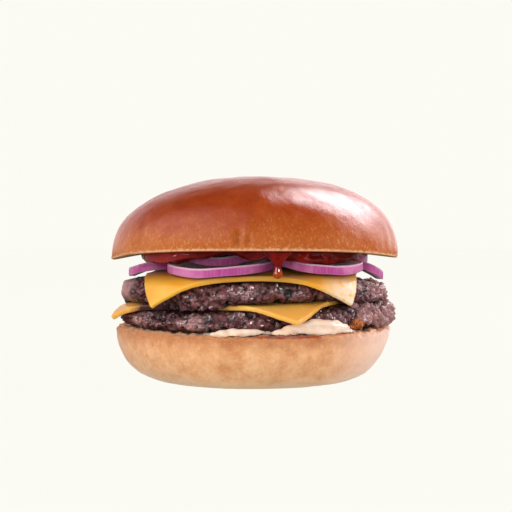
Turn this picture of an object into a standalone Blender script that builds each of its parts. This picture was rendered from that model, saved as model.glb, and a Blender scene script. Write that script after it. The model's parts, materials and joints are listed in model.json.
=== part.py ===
"""A double cheeseburger, built in layers from the heel of the bun up to its crown.

Metres, +Z up. The origin is the middle of the heel's flat underside, and -Y is the front.
Each layer lies on a height function of the one below it, so that the stack follows one slope and one sag.
"""

import math

import bmesh
import bpy
from mathutils import Matrix, Vector, noise
from mathutils.bvhtree import BVHTree

MM = 0.001
GAP = 0.3 * MM

# Bun
HEEL_RADIUS = 54.8 * MM
HEEL_HEIGHT = 20.3 * MM
HEEL_FOOT_RADIUS = 39.5 * MM
HEEL_DISH = 0.7 * MM
HEEL_DISH_RADIUS = 43 * MM
CROWN_RADIUS = 57.4 * MM
CROWN_RIM = 49.5 * MM
CROWN_TOP = 79.2 * MM
CROWN_HOLLOW = 4 * MM
CROWN_DROOP = 2.6 * MM
CROWN_OFFSET = 0.6 * MM
CROWN_LEAN = 2.6 * MM
DOME_FULLNESS = 2.2

# Patties, cheese and the slope of the filling, which rises to the right
PATTY_RADIUS = 52 * MM
PATTY_NOSE = 5 * MM
NOSE_FULLNESS = 0.75
CRAG_DEPTH = 2.7 * MM
CRAG_SIZE = 7.5 * MM
LOWER_PATTY_UNDERSIDE = 21.1 * MM
LOWER_PATTY_TOP = 29.2 * MM
UPPER_PATTY_TOP = 40.3 * MM
UNDERSIDE_SLOPE = 0.008
MIDDLE_SLOPE = 0.028
TOP_SLOPE = 0.013
RIM_SAG = 1.2 * MM
RIM_FALL = 0.45
FRONT_SAG = 1 * MM
LEFT_SAG = 1.8 * MM
RIGHT_FALL = 4.8 * MM
CREVICE = 0.8 * MM
LOWER_SLICE_SIDE = 82 * MM
UPPER_SLICE_SIDE = 79.2 * MM
SLICE_THICKNESS = 2.1 * MM
SLICE_CORNER = 3.5 * MM
SLICE_CELLS = 15
LOWER_SLICE_TURN = math.radians(-28.5)
LOWER_SLICE_CENTRE = (-0.5 * MM, -1.5 * MM)
UPPER_SLICE_CENTRE = (-0.4 * MM, -7.6 * MM)

# Onion rings
RING_HEIGHT = 3.3 * MM
RING_WALL = 2.3 * MM
RING_SLOPE = 0.42
RING_SEGMENTS = 32
STATIONS_PER_SEGMENT = 3
# Centre x and y, half width and half depth in millimetres, and turn in degrees.
# The rings of one tier lie side by side, those of the first on the cheese and those of the second over them.
FIRST_TIER = (
    (-12, -30, 18.5, 18.5, 0),
    (-28, 3, 25.5, 12.5, 48),
    (24.5, -29.5, 14.5, 14.5, -8),
    (32.5, 1, 18.5, 14, -16),
    (8, 32, 19, 12.5, 0),
)
SECOND_TIER = (
    (-13, -15, 20, 17.5, 0),
    (34, 12, 12, 20, 0),
    (-6, 24, 21, 14, 5),
)

# Sauces
KETCHUP_THINNEST = 0.8 * MM
KETCHUP_THICKEST = 3.3 * MM
DRIP_FOOT = 39.8 * MM
DRIP_PLACE = (8.4 * MM, -51.6 * MM)


def smoothstep(low, high, value):
    share = min(1.0, max(0.0, (value - low) / (high - low)))
    return share * share * (3 - 2 * share)


def mix(first, second, share):
    return first + (second - first) * share


def bump(angle, towards, width):
    """1 in the direction towards, falling to 0 at width degrees to either side."""
    off = (math.degrees(angle) - towards + 180) % 360 - 180
    return 1 - smoothstep(0, width, abs(off))


def rim_sag(x, y):
    """How far the filling hangs below its middle, out near the rim."""
    return RIM_SAG * smoothstep(28 * MM, 52 * MM, math.hypot(x, y))


def heel_face(x, y):
    """The heel's cut face, pressed into a shallow dish."""
    dish = 1 - smoothstep(HEEL_DISH_RADIUS, HEEL_DISH_RADIUS + 7 * MM, math.hypot(x, y))
    return HEEL_HEIGHT - HEEL_DISH * dish


def lower_patty_underside(x, y):
    return LOWER_PATTY_UNDERSIDE + UNDERSIDE_SLOPE * x


def lower_slice_cover(x, y, fade):
    """1 over the lower cheese slice, and 0 from fade beyond its edges."""
    centre = Vector(LOWER_SLICE_CENTRE)
    here = Matrix.Rotation(-LOWER_SLICE_TURN, 2) @ (Vector((x, y)) - centre)
    outside = max(abs(here.x), abs(here.y)) - LOWER_SLICE_SIDE / 2
    return 1 - smoothstep(0.8 * MM, fade, outside)


def lower_patty_top(x, y):
    """Sloping up to the right, and sunken at the left where no slice covers it."""
    sunken = LEFT_SAG * (1 - lower_slice_cover(x, y, 7 * MM)) * smoothstep(25 * MM, -15 * MM, x)
    return LOWER_PATTY_TOP + MIDDLE_SLOPE * x - rim_sag(x, y) - sunken


def upper_patty_underside(x, y):
    """On the lower slice, and past its edges almost down on the lower patty."""
    cover = lower_slice_cover(x, y, 5.5 * MM)
    return lower_patty_top(x, y) + mix(CREVICE, SLICE_THICKNESS + 2.6 * GAP, cover)


def upper_patty_top(x, y):
    fall = FRONT_SAG * smoothstep(25 * MM, 48 * MM, -y) + RIGHT_FALL * smoothstep(38 * MM, 55 * MM, x)
    return UPPER_PATTY_TOP + TOP_SLOPE * x - rim_sag(x, y) - fall


def crown_droop(x):
    return CROWN_DROOP * (abs(x) / CROWN_RADIUS) ** 3.2


def crown_face(x, y):
    """The crown's cut face, which arches over the filling and hangs lower at the left and right."""
    arch = CROWN_HOLLOW * (1 - (math.hypot(x, y) / CROWN_RADIUS) ** 3)
    return CROWN_RIM + arch - crown_droop(x)


def upper_slice_cover(x, y):
    """1 over the upper cheese slice, and 0 a little way outside it."""
    off_centre = max(abs(x - UPPER_SLICE_CENTRE[0]), abs(y - UPPER_SLICE_CENTRE[1]))
    outside = off_centre - UPPER_SLICE_SIDE / 2
    return 1 - smoothstep(0, 6 * MM, outside)


def onion_shelf(x, y):
    """The soft surface that the onion rings settle on: the upper slice, and past its edges the patty."""
    slice_layer = (SLICE_THICKNESS + GAP) * upper_slice_cover(x, y)
    beyond = max(0.0, math.hypot(x, y) - PATTY_RADIUS + 3 * MM)
    return upper_patty_top(x, y) + GAP + slice_layer - RIM_FALL * beyond


def surfaces(pieces):
    """The finished skins of some pieces, to find what lies under a point."""
    graph = bpy.context.evaluated_depsgraph_get()
    return [BVHTree.FromObject(piece, graph) for piece in pieces]


def highest(skins, x, y):
    """The height of the topmost skin at a point, or the ground where there is none."""
    above = Vector((x, y, 0.1))
    hits = [skin.ray_cast(above, Vector((0, 0, -1)))[0] for skin in skins]
    return max([hit.z for hit in hits if hit] + [0.0])


def material(name, colour, roughness):
    made = bpy.data.materials.new(name)
    made.use_nodes = True
    shader = made.node_tree.nodes["Principled BSDF"]
    shader.inputs["Base Color"].default_value = (*colour, 1)
    shader.inputs["Roughness"].default_value = roughness
    return made


def finish(name, mesh_in_progress, look):
    """Turns a bmesh into a named object with its material."""
    bmesh.ops.recalc_face_normals(mesh_in_progress, faces=mesh_in_progress.faces)
    mesh = bpy.data.meshes.new(name)
    mesh_in_progress.to_mesh(mesh)
    mesh_in_progress.free()
    mesh.shade_smooth()
    mesh.materials.append(look)
    made = bpy.data.objects.new(name, mesh)
    bpy.context.collection.objects.link(made)
    return made


def turned(profile, segments):
    """A closed body of revolution from a half section of (radius, height) points, axis to axis."""
    body = bmesh.new()
    points = [body.verts.new((radius, 0, height)) for radius, height in profile]
    edges = [body.edges.new(pair) for pair in zip(points, points[1:])]
    bmesh.ops.spin(
        body,
        geom=points + edges,
        axis=(0, 0, 1),
        cent=(0, 0, 0),
        angle=2 * math.pi,
        steps=segments,
        use_merge=True,
    )
    bmesh.ops.remove_doubles(body, verts=body.verts, dist=0.001 * MM)
    return body


def make_heel(look):
    """The bottom bun: a flat foot, a full rounded side and a dished cut face."""
    side_height = HEEL_HEIGHT - 3 * MM
    profile = [(0, 0), (0.6 * HEEL_FOOT_RADIUS, 0)]
    for step in range(7):
        turn = math.radians(15 * step)
        radius = mix(HEEL_FOOT_RADIUS, HEEL_RADIUS, math.sin(turn) ** 1.1)
        profile.append((radius, side_height * (1 - math.cos(turn))))
    profile += [
        (HEEL_RADIUS - 0.3 * MM, HEEL_HEIGHT - 1.2 * MM),
        (HEEL_RADIUS - 1.5 * MM, HEEL_HEIGHT - 0.1 * MM),
        (50 * MM, HEEL_HEIGHT),
        (46 * MM, HEEL_HEIGHT),
        (40 * MM, HEEL_HEIGHT),
        (22 * MM, HEEL_HEIGHT),
        (0, HEEL_HEIGHT),
    ]
    body = turned(profile, 56)
    for vert in body.verts:
        x, y, z = vert.co
        if math.hypot(x, y) < 50.5 * MM and z > 0.5 * HEEL_HEIGHT:
            vert.co.z = heel_face(x, y)
            continue
        # The side swells unevenly, and is pinched in low down at the right.
        side = math.sin(math.pi * min(1, z / HEEL_HEIGHT))
        swell = 0.8 * MM * noise.noise(Vector((x, y, 0)) * 22) * side
        low_down = 1.5 * side * (1 - z / HEEL_HEIGHT)
        swell -= 2 * MM * low_down * bump(math.atan2(y, x), -5, 60)
        outwards = Vector((x, y, 0)).normalized() if z > 0 else Vector()
        vert.co += outwards * swell
    return finish("heel", body, look)


def make_crown(look):
    """The top bun: a full dome over an arched cut face, with a tucked-in lower rim."""
    profile = [(radius * CROWN_RADIUS, -1) for radius in (0, 0.38, 0.68, 0.87)]
    profile += [(0.975 * CROWN_RADIUS, -1), (0.993 * CROWN_RADIUS, 0.02)]
    for share in (0.07, 0.18, 0.31, 0.45, 0.59, 0.72, 0.83, 0.92, 0.98):
        radius = CROWN_RADIUS * (1 - share**DOME_FULLNESS) ** (1 / DOME_FULLNESS)
        profile.append((radius, share))
    profile.append((0, 1))
    body = turned(profile, 56)
    for vert in body.verts:
        x, y, share = vert.co
        if share < 0:
            vert.co = Vector((x + CROWN_OFFSET, y, crown_face(x, y)))
            continue
        dent = 0.7 * MM * noise.noise(Vector((x, y, share * CROWN_RADIUS)) * 26)
        height = mix(CROWN_RIM, CROWN_TOP, share) - crown_droop(x) * (1 - share) ** 1.5
        stretch = 1 + dent / CROWN_RADIUS
        vert.co = Vector((x * stretch, y * stretch, height + dent * share))
        vert.co.x += CROWN_OFFSET + CROWN_LEAN * share**1.2
    return finish("crown", body, look)


def crag(place):
    """0 on a nub of ground meat and 1 in a crevice between nubs."""
    distances, _ = noise.voronoi(place / CRAG_SIZE)
    rough = 0.2 * noise.fractal(place / CRAG_SIZE * 1.7, 0.8, 2.0, 3)
    return smoothstep(0.12, 0.85, distances[0] + rough)


def patty_reach(patty, angle):
    """The patty's outline: its radius in each direction."""
    wander = 0.9 * MM * noise.noise(Vector((math.cos(angle), math.sin(angle), patty["seed"])) * 2.3)
    extra = sum(reach * bump(angle, towards, width) for towards, reach, width in patty["bulges"])
    return patty["radius"] + wander + extra


def make_patty(name, patty, look):
    """A coarse ground-meat disc with a round nose, and crags cut into the nose."""
    nose_start = 1 - PATTY_NOSE / PATTY_RADIUS
    profile = [(share, -1) for share in patty["underside_rings"]]
    for step in range(9):
        turn = math.radians(-90 + 22.5 * step)
        outwards = max(0, math.cos(turn)) ** NOSE_FULLNESS
        profile.append((mix(nose_start, 1, outwards), math.sin(turn)))
    profile += [(share, 1) for share in reversed(patty["top_rings"])]
    body = turned(profile, 72)
    for vert in body.verts:
        share = math.hypot(vert.co.x, vert.co.y)
        angle = math.atan2(vert.co.y, vert.co.x)
        level = (vert.co.z + 1) / 2
        reach = patty_reach(patty, angle)
        x, y = share * reach * math.cos(angle), share * reach * math.sin(angle)
        z = mix(patty["underside"](x, y), patty["top"](x, y), level)
        depth = CRAG_DEPTH * crag(Vector((x, y, z + patty["seed"] * MM))) * smoothstep(nose_start, 1, share)
        inward = Vector((-math.cos(angle), -math.sin(angle), 0.5 - level))
        vert.co = Vector((x, y, z)) + inward * depth
    return finish(name, body, look)


def draped(flat, patty, plan):
    """Where a point of a flat slice ends up once the slice lies on the patty and rolls over its rim."""
    angle = math.atan2(flat.y, flat.x)
    start = patty_reach(patty, angle) - PATTY_NOSE
    past = max(0.0, flat.length - start)
    eased = sum(change * bump(angle, towards, width) for towards, change, width in plan["eased"])
    bend = min(past / plan["roll"], math.radians(plan["steepest"] + eased))
    straight = past - bend * plan["roll"]
    across = plan["roll"] * math.sin(bend) + straight * math.cos(bend)
    drop = plan["roll"] * (1 - math.cos(bend)) + straight * math.sin(bend)
    clearance = 0.5 * MM * smoothstep(-1.5 * MM, 3.5 * MM, flat.length - start)
    radius = min(flat.length, start) + across + clearance * math.sin(bend)
    x, y = radius * math.cos(angle), radius * math.sin(angle)
    kept = min(1.0, start / max(radius, 1 * MM))
    return Vector((x, y, patty["top"](x * kept, y * kept) + GAP + clearance * math.cos(bend) - drop))


def make_slice(name, patty, plan, look):
    """A square slice of processed cheese, softened so that its corners hang over the patty's rim."""
    slice_mesh = bmesh.new()
    bmesh.ops.create_grid(slice_mesh, x_segments=SLICE_CELLS, y_segments=SLICE_CELLS, size=1)
    half = plan["side"] / 2
    for vert in slice_mesh.verts:
        # Grid lines gather towards the edges, where the slice bends.
        u, v = (math.copysign(abs(c) ** 0.75, c) for c in (vert.co.x, vert.co.y))
        corner = smoothstep(0.8, 1, abs(u)) * smoothstep(0.8, 1, abs(v))
        trim = 1 - 0.3 * SLICE_CORNER / half * corner
        edge_wander = 0.4 * MM * noise.noise(Vector((u * 3, v * 3, plan["roll"] / MM)))
        flat = Vector((u, v, 0)) * (half * trim + edge_wander)
        flat = Vector((*plan["centre"], 0)) + Matrix.Rotation(plan["turn"], 3, "Z") @ flat
        vert.co = draped(flat, patty, plan)
    made = finish(name, slice_mesh, look)
    thicken = made.modifiers.new("thickness", "SOLIDIFY")
    thicken.thickness = SLICE_THICKNESS
    thicken.offset = 1
    return made


def ring_place(plan, angle):
    """The middle of the ring's wall seen from above, and its outward direction."""
    centre_x, centre_y, half_width, half_depth, turn = plan
    along = Vector((math.cos(angle) * half_width, math.sin(angle) * half_depth)) * MM
    outward = Vector((math.cos(angle) * half_depth, math.sin(angle) * half_width)).normalized()
    rotation = Matrix.Rotation(math.radians(turn), 2)
    return Vector((centre_x, centre_y)) * MM + rotation @ along, rotation @ outward


def bridged(places, floor):
    """A ring is stiff: from each thing that it rests on, it comes down no faster than its own slope."""
    return [
        max(height - RING_SLOPE * (place - support).length for support, height in zip(places, floor))
        for place in places
    ]


def lay(plan, tier_below, skins):
    """Finds the height of a ring's underside, over the filling and over the rings of the tier below."""
    stations = RING_SEGMENTS * STATIONS_PER_SEGMENT
    places = [ring_place(plan, 2 * math.pi * number / stations) for number in range(stations)]
    floor = []
    for place, outward in places:
        across = [place + outward * RING_WALL * share for share in (-0.6, 0, 0.6)]
        shelf = max([onion_shelf(*place)] + [highest(skins, *point) + GAP for point in across])
        height = shelf
        for other in tier_below:
            distance, below = min(((place - at).length, z) for at, z in other["line"])
            lifted = below + RING_HEIGHT + 1.2 * GAP
            share = 1 - smoothstep(RING_WALL + 1.2 * MM, RING_WALL + 9 * MM, distance)
            height = max(height, mix(shelf, lifted, share))
        floor.append(height)
    floor = bridged([place for place, _ in places], floor)
    heights = []
    for segment in range(RING_SEGMENTS):
        middle = segment * STATIONS_PER_SEGMENT
        heights.append(max(floor[(middle + off) % stations] for off in (-2, -1, 0, 1, 2)))
    for _ in range(4):
        # It also rounds out the sharp valleys between those things.
        around = zip(heights[-1:] + heights[:-1], heights, heights[1:] + heights[:1])
        heights = [max(here, (before + after) / 2) for before, here, after in around]
    line = []
    for number, (place, _) in enumerate(places):
        segment, part_way = divmod(number, STATIONS_PER_SEGMENT)
        following = heights[(segment + 1) % RING_SEGMENTS]
        line.append((place, mix(heights[segment], following, part_way / STATIONS_PER_SEGMENT)))
    return {"plan": plan, "heights": heights, "line": line}


def make_ring(name, ring, look):
    """One ring of a sliced red onion, with an upright wall."""
    body = bmesh.new()
    section = ((-0.5, 0.0), (0.5, 0.0), (0.5, 1.0), (-0.5, 1.0))
    corners = [body.verts.new((10 + across, 0, up)) for across, up in section]
    edges = [body.edges.new((first, second)) for first, second in zip(corners, corners[1:] + corners[:1])]
    bmesh.ops.spin(
        body,
        geom=corners + edges,
        axis=(0, 0, 1),
        cent=(0, 0, 0),
        angle=2 * math.pi,
        steps=RING_SEGMENTS,
        use_merge=True,
    )
    for vert in body.verts:
        angle = math.atan2(vert.co.y, vert.co.x) % (2 * math.pi)
        segment = round(angle / (2 * math.pi) * RING_SEGMENTS) % RING_SEGMENTS
        across, up = math.hypot(vert.co.x, vert.co.y) - 10, vert.co.z
        middle, outward = ring_place(ring["plan"], angle)
        place = middle + outward * across * RING_WALL
        vert.co = Vector((*place, ring["heights"][segment] + up * RING_HEIGHT))
    return finish(name, body, look)


def pile_top(x, y, rings, reach):
    """The top of the onion pile within reach of a point."""
    here = Vector((x, y))
    tops = [onion_shelf(x, y)]
    for ring in rings:
        tops += [height + RING_HEIGHT for at, height in ring["line"] if (at - here).length < reach]
    return max(tops)


def ketchup_reach(angle):
    """The ketchup's outline: it shows along the front, apart from one gap left of the middle."""
    reach = 44.5 * MM + 6 * MM * bump(angle, -78, 46) + 5.5 * MM * bump(angle, -130, 44)
    reach -= 7 * MM * bump(angle, -101, 13)
    reach -= 4 * MM * bump(angle, 5, 35)
    return reach + 1.3 * MM * noise.noise(Vector((math.cos(angle), math.sin(angle), 3)) * 2.6)


def make_ketchup(rings, look):
    """A smear of ketchup pressed between the onions and the crown, with one drip at the front."""
    profile = [(share, 0) for share in (0, 0.15, 0.3, 0.44, 0.57, 0.69, 0.8, 0.91)]
    profile += [(0.985, 0.1), (1, 0.5), (0.985, 0.9)]
    profile += [(share, 1) for share in (0.8, 0.55, 0.3, 0)]
    body = turned(profile, 52)
    for vert in body.verts:
        share, level = math.hypot(vert.co.x, vert.co.y), vert.co.z
        angle = math.atan2(vert.co.y, vert.co.x)
        reach = ketchup_reach(angle)
        x, y = share * reach * math.cos(angle), share * reach * math.sin(angle)
        ceiling = crown_face(x, y) - 1.3 * GAP
        around = 5.8 * MM if share < 0.9 else 4.8 * MM
        floor = pile_top(x, y, rings, RING_WALL / 2 + around) + GAP
        thickness = min(KETCHUP_THICKEST, max(KETCHUP_THINNEST, ceiling - floor))
        vert.co = Vector((x, y, ceiling - thickness * (1 - level)))
    ketchup = finish("ketchup", body, look)
    drip_top = crown_face(*DRIP_PLACE) - 1.1 * MM
    drip = turned(
        [
            (0, DRIP_FOOT),
            (0.9 * MM, DRIP_FOOT + 0.25 * MM),
            (1.85 * MM, DRIP_FOOT + 1.1 * MM),
            (1.9 * MM, DRIP_FOOT + 2 * MM),
            (1.3 * MM, DRIP_FOOT + 3.5 * MM),
            (1.15 * MM, DRIP_FOOT + 4.7 * MM),
            (1.7 * MM, DRIP_FOOT + 6.2 * MM),
            (2.6 * MM, drip_top - 0.4 * MM),
            (2.6 * MM, drip_top + 0.3 * MM),
            (0, drip_top + 0.3 * MM),
        ],
        16,
    )
    for vert in drip.verts:
        # The drip widens sideways into the smear above it.
        widening = 1 + 1.2 * smoothstep(DRIP_FOOT + 4.8 * MM, drip_top, vert.co.z)
        vert.co.x *= widening
        vert.co += Vector((*DRIP_PLACE, 0))
    return fused(ketchup, finish("drip", drip, look))


def fused(body, addition):
    """Joins addition to body with one Boolean union, and removes the addition."""
    extras = bpy.data.collections.new("fused_to_" + body.name)
    bpy.context.scene.collection.children.link(extras)
    bpy.context.collection.objects.unlink(addition)
    extras.objects.link(addition)
    union = body.modifiers.new("union", "BOOLEAN")
    union.operation = "UNION"
    union.operand_type = "COLLECTION"
    union.collection = extras
    union.solver = "EXACT"
    bpy.context.view_layer.update()
    graph = bpy.context.evaluated_depsgraph_get()
    joined = bpy.data.meshes.new_from_object(body.evaluated_get(graph))
    body.modifiers.clear()
    old = body.data
    body.data = joined
    joined.name = body.name
    bpy.data.meshes.remove(old)
    bpy.data.objects.remove(addition)
    bpy.data.collections.remove(extras)
    return body


def between(angle, first, last, fade):
    """1 from the first direction to the last, in degrees, and falling to 0 over fade beyond them."""
    degrees = math.degrees(angle)
    return smoothstep(first - fade, first, degrees) * (1 - smoothstep(last, last + fade, degrees))


def make_sauce(patty, look):
    """Burger sauce spread on the heel, squeezed out into a thick bead along the front right."""
    spread = [(share, 0) for share in (0, 0.4, 0.75, 0.93)]
    # Around the rim the section is a loop, stored as radii above 2 with the direction on the loop as height.
    loop = [(2 + step, math.radians(-130 + 44 * step)) for step in range(8)]
    spread += loop + [(share, 1) for share in (0.985, 0.75, 0.4, 0)]
    body = turned(spread, 44)
    for vert in body.verts:
        share, level = math.hypot(vert.co.x, vert.co.y), vert.co.z
        angle = math.atan2(vert.co.y, vert.co.x)
        # The sections gather towards the front, where the bead is.
        angle -= 0.45 * math.sin(angle - math.radians(-76))
        edge = patty_reach(patty, angle)
        swell = bump(angle, -63, 27) + 0.5 * bump(angle, -95, 17)
        swell = min(1, 0.1 + swell) * between(angle, -103, -50, 8)
        half_height = mix(0.1 * MM, 2.7 * MM, swell)
        half_width = mix(0.5 * MM, 2.1 * MM, swell)
        inside = 41 * MM + 1.5 * MM * noise.noise(Vector((math.cos(angle), math.sin(angle), 7)) * 2.4)
        inner = mix(inside, edge + GAP, between(angle, -107, -44, 12))
        radius = inner * share
        if share >= 1.9:
            radius = inner + half_width * (1 + math.cos(level))
        x, y = radius * math.cos(angle), radius * math.sin(angle)
        floor = heel_face(x, y) + GAP
        ceiling = lower_patty_underside(x, y) - GAP
        height = mix(floor, ceiling, level)
        if share >= 1.9:
            height = floor + half_height * (1 + math.sin(level))
        vert.co = Vector((x, y, height))
    return finish("sauce", body, look)


def clear_scene():
    for old in list(bpy.data.objects):
        bpy.data.objects.remove(old)


def main():
    clear_scene()
    golden_crust = material("golden_crust", (0.45, 0.11, 0.022), 0.32)
    pale_crust = material("pale_crust", (0.72, 0.38, 0.16), 0.6)
    seared_beef = material("seared_beef", (0.075, 0.042, 0.038), 0.45)
    cheese = material("cheese", (0.86, 0.42, 0.045), 0.35)
    red_onion = material("red_onion", (0.42, 0.11, 0.30), 0.3)
    ketchup_red = material("ketchup_red", (0.22, 0.008, 0.005), 0.15)
    pink_sauce = material("pink_sauce", (0.88, 0.62, 0.42), 0.35)

    # Where the flat faces have vertices: more of them around the lower slice's edge.
    plain_rings = (0, 0.62)
    slice_rings = (0, 0.5, 0.8, 0.855)
    lower_patty = {
        "radius": 51.5 * MM,
        "bulges": ((-8, 7 * MM, 34), (180, 2.4 * MM, 40), (-74, -2.8 * MM, 38), (60, 1.5 * MM, 40)),
        "underside": lower_patty_underside,
        "top": lower_patty_top,
        "underside_rings": plain_rings,
        "top_rings": slice_rings,
        "seed": 1.7,
    }
    upper_patty = {
        "radius": 50.8 * MM,
        "bulges": ((-14, 4.4 * MM, 36), (184, 3 * MM, 34), (95, 1.6 * MM, 50)),
        "underside": upper_patty_underside,
        "top": upper_patty_top,
        "underside_rings": slice_rings,
        "top_rings": plain_rings,
        "seed": 8.3,
    }

    lower_slice = {
        "side": LOWER_SLICE_SIDE,
        "centre": LOWER_SLICE_CENTRE,
        "turn": LOWER_SLICE_TURN,
        "roll": 8 * MM,
        "steepest": 34,
        "eased": ((-74, -6, 40), (16, -29, 40), (196, 14, 40)),
    }
    upper_slice = {
        "side": UPPER_SLICE_SIDE,
        "centre": UPPER_SLICE_CENTRE,
        "turn": math.radians(-0.8),
        "roll": 6.2 * MM,
        "steepest": 66,
        "eased": ((-45, 5, 40),),
    }

    make_heel(pale_crust)
    make_sauce(lower_patty, pink_sauce)
    make_patty("patty_lower", lower_patty, seared_beef)
    make_slice("cheese_lower", lower_patty, lower_slice, cheese)
    upper_patty_body = make_patty("patty_upper", upper_patty, seared_beef)
    upper_slice_body = make_slice("cheese_upper", upper_patty, upper_slice, cheese)

    skins = surfaces([upper_patty_body, upper_slice_body])
    first_tier = [lay(ring, [], skins) for ring in FIRST_TIER]
    rings = first_tier + [lay(ring, first_tier, skins) for ring in SECOND_TIER]
    for number, ring in enumerate(rings, start=1):
        make_ring(f"onion_ring_{number}", ring, red_onion)
    make_ketchup(rings, ketchup_red)
    make_crown(golden_crust)


main()
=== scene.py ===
"""The looks of a double cheeseburger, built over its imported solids.

Metres, +Z up, -Y towards the camera. Each shown piece starts as a copy of its solid and is refined
from there. A place called mm, and the place and height in a material, are in millimetres. Directions are
in degrees, as in the plan view: 0 to the right, -90 to the front.
"""

import json
import math
import random

import bmesh
import bpy
from mathutils import Matrix, Vector, noise
from mathutils.bvhtree import BVHTree

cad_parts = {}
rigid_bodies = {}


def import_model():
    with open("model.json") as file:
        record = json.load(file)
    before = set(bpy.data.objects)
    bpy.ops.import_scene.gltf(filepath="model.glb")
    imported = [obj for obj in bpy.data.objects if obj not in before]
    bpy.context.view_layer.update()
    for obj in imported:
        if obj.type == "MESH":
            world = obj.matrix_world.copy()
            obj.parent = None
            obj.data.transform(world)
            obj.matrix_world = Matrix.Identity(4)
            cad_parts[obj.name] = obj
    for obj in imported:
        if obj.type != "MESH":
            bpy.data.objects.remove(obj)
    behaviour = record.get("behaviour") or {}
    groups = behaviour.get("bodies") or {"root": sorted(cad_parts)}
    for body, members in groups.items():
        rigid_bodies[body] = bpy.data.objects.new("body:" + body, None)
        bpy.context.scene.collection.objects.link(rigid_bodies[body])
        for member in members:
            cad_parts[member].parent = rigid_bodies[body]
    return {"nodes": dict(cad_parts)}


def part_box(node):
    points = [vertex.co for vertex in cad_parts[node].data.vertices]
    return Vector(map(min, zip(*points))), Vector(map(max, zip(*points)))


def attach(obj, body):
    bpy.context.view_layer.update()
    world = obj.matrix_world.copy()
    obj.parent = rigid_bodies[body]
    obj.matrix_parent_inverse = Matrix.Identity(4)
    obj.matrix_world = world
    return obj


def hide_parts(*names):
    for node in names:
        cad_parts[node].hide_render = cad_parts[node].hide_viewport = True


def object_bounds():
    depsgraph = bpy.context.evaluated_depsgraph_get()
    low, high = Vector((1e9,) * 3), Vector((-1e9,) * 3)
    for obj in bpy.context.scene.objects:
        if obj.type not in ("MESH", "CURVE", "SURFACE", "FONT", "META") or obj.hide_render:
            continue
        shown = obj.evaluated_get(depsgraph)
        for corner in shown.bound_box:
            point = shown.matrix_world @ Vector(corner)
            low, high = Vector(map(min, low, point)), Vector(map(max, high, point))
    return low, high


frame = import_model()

MM = 0.001
CAD_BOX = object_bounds()
NODES = frame["nodes"]
RINGS = [name for name in NODES if name.startswith("onion_ring")]

# Room kept free between a piece and its neighbours, and the steps of the remeshed pieces.
GAP = 0.12 * MM
RING_GAP = 0.15 * MM
CROWN_GAP = 0.25 * MM
KETCHUP_GAP = 0.3 * MM
MEAT_STEP = 0.47 * MM
CHEESE_STEP = 0.42 * MM
KETCHUP_STEP = 0.42 * MM
SAUCE_STEP = 0.36 * MM
# The upright axis is looked at in this many equal sectors.
SECTORS = 72
DOWN = Vector((0, 0, -1))

# Crown, in millimetres: where the puckered band starts, is full, fades and is gone, then the rough rim,
# and where the rim droops, by radius and by height.
PUCKERED = (46, 50, 55, 66)
ROUGH_RIM = (47.5, 51)
DROOP_RADIUS = (47, 52)
DROOP_HEIGHT = (49, 55)
# The rim's droop all round, and more of it by direction: direction, half width and depth.
DROOP = 0.5
DROOPS = ((182, 45, 1.1), (0, 50, 0.3))
# Two pinched dents at the front of the crown: x, z, half width, half height and depth.
PINCHES = (
    (-5.2, 54.0, 1.7, 3.8, 1.1),
    (-1.6, 53.4, 1.4, 3.0, 1.0),
)
# A place at the back counts as this far off a pinch.
FAR_OFF = 9.0

# Juice at the heel's rim: its middle and its reach, in millimetres.
JUICE_PLACE = Vector((16, -52, 20.0))
JUICE_REACH = (20, 7, 0.9)
HEEL_RIM = (17.5, 19.8)

# Nubs of meat: cells per millimetre, warp, sign of the shift, height, round part of a cell and mean level.
NUBS = (
    (0.27, 2.4, 1, 0.9, 0.78, 0.72),
    (0.55, 1.2, -1, 1.0, 0.75, 0.65),
)
# Paler spots of painted sheen on the patties: place, size in millimetres and how much smoother they are.
PALE_SPOTS = {
    "patty_lower": (
        (Vector((52, -20, 26)), 15, 0.0),
        (Vector((-44, -26, 24)), 9, 0.0),
        (Vector((-22, -44, 23)), 8, 0.2),
    ),
    "patty_upper": (
        (Vector((-51, -12, 36.3)), 13, 1.0),
        (Vector((50, -18, 34)), 13, 0.0),
    ),
}

# Painted glare, pale, on the upper slice's right corner: its middle and its reach.
GLARE_PLACE = Vector((34, -45, 33.0))
GLARE_REACH = 14
# How far the upper slice's side edges are drawn in, left and right.
DRAWN_IN = (0.5, 1.6)
# The lower slice's stretch in the dark crevice between the patties, by direction, where shade is painted.
CREVICE = (-158, -145, -112, -102)

# How the shown rings bend further than their solids: direction, half width and rise in millimetres.
RING_BENDS = {1: (-118, 75, -1.4), 3: (195, 75, 1.4)}

# The drip's upright axis, and where the ketchup sags lower: direction, half width and depth.
DRIP_AXIS = Vector((8.4, -51.6))
KETCHUP_SAGS = ((-140, 30, 2.0), (-52, 34, 2.4))
KETCHUP_CLEFT = (-102, 15)

# Crumbs: seed, count, directions, heights and the least, greatest and usual size in millimetres.
LOWER_CRUMBS = (1, 130, (-40, 14), (22.5, 30), (0.7, 2.5, 1.2))
UPPER_CRUMBS = (2, 50, (-34, 10), (32, 38), (0.6, 1.8, 0.9))
BREAD_CRUMBS = (3, 4, (-43, -37), (21.6, 23.6), (1.6, 2.5, 2.2))
# They stay to the left of this, and are looked for from this far out.
CRUMB_LIMIT = 55.5 * MM
OUTSIDE = 70 * MM

# The camera stands in front, at the height of the crown's rim.
CAMERA_DISTANCE = 365 * MM
CAMERA_HEIGHT = 50.7 * MM
CAMERA_LENS = 63.9
CAMERA_SHIFT = (0.005, -0.016)

# Without a seed, noise vectors differ from run to run.
NOISE_SEED = 11

# Pale paper, as the camera sees it.
PAPER = (0.974, 0.965, 0.896)
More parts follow.
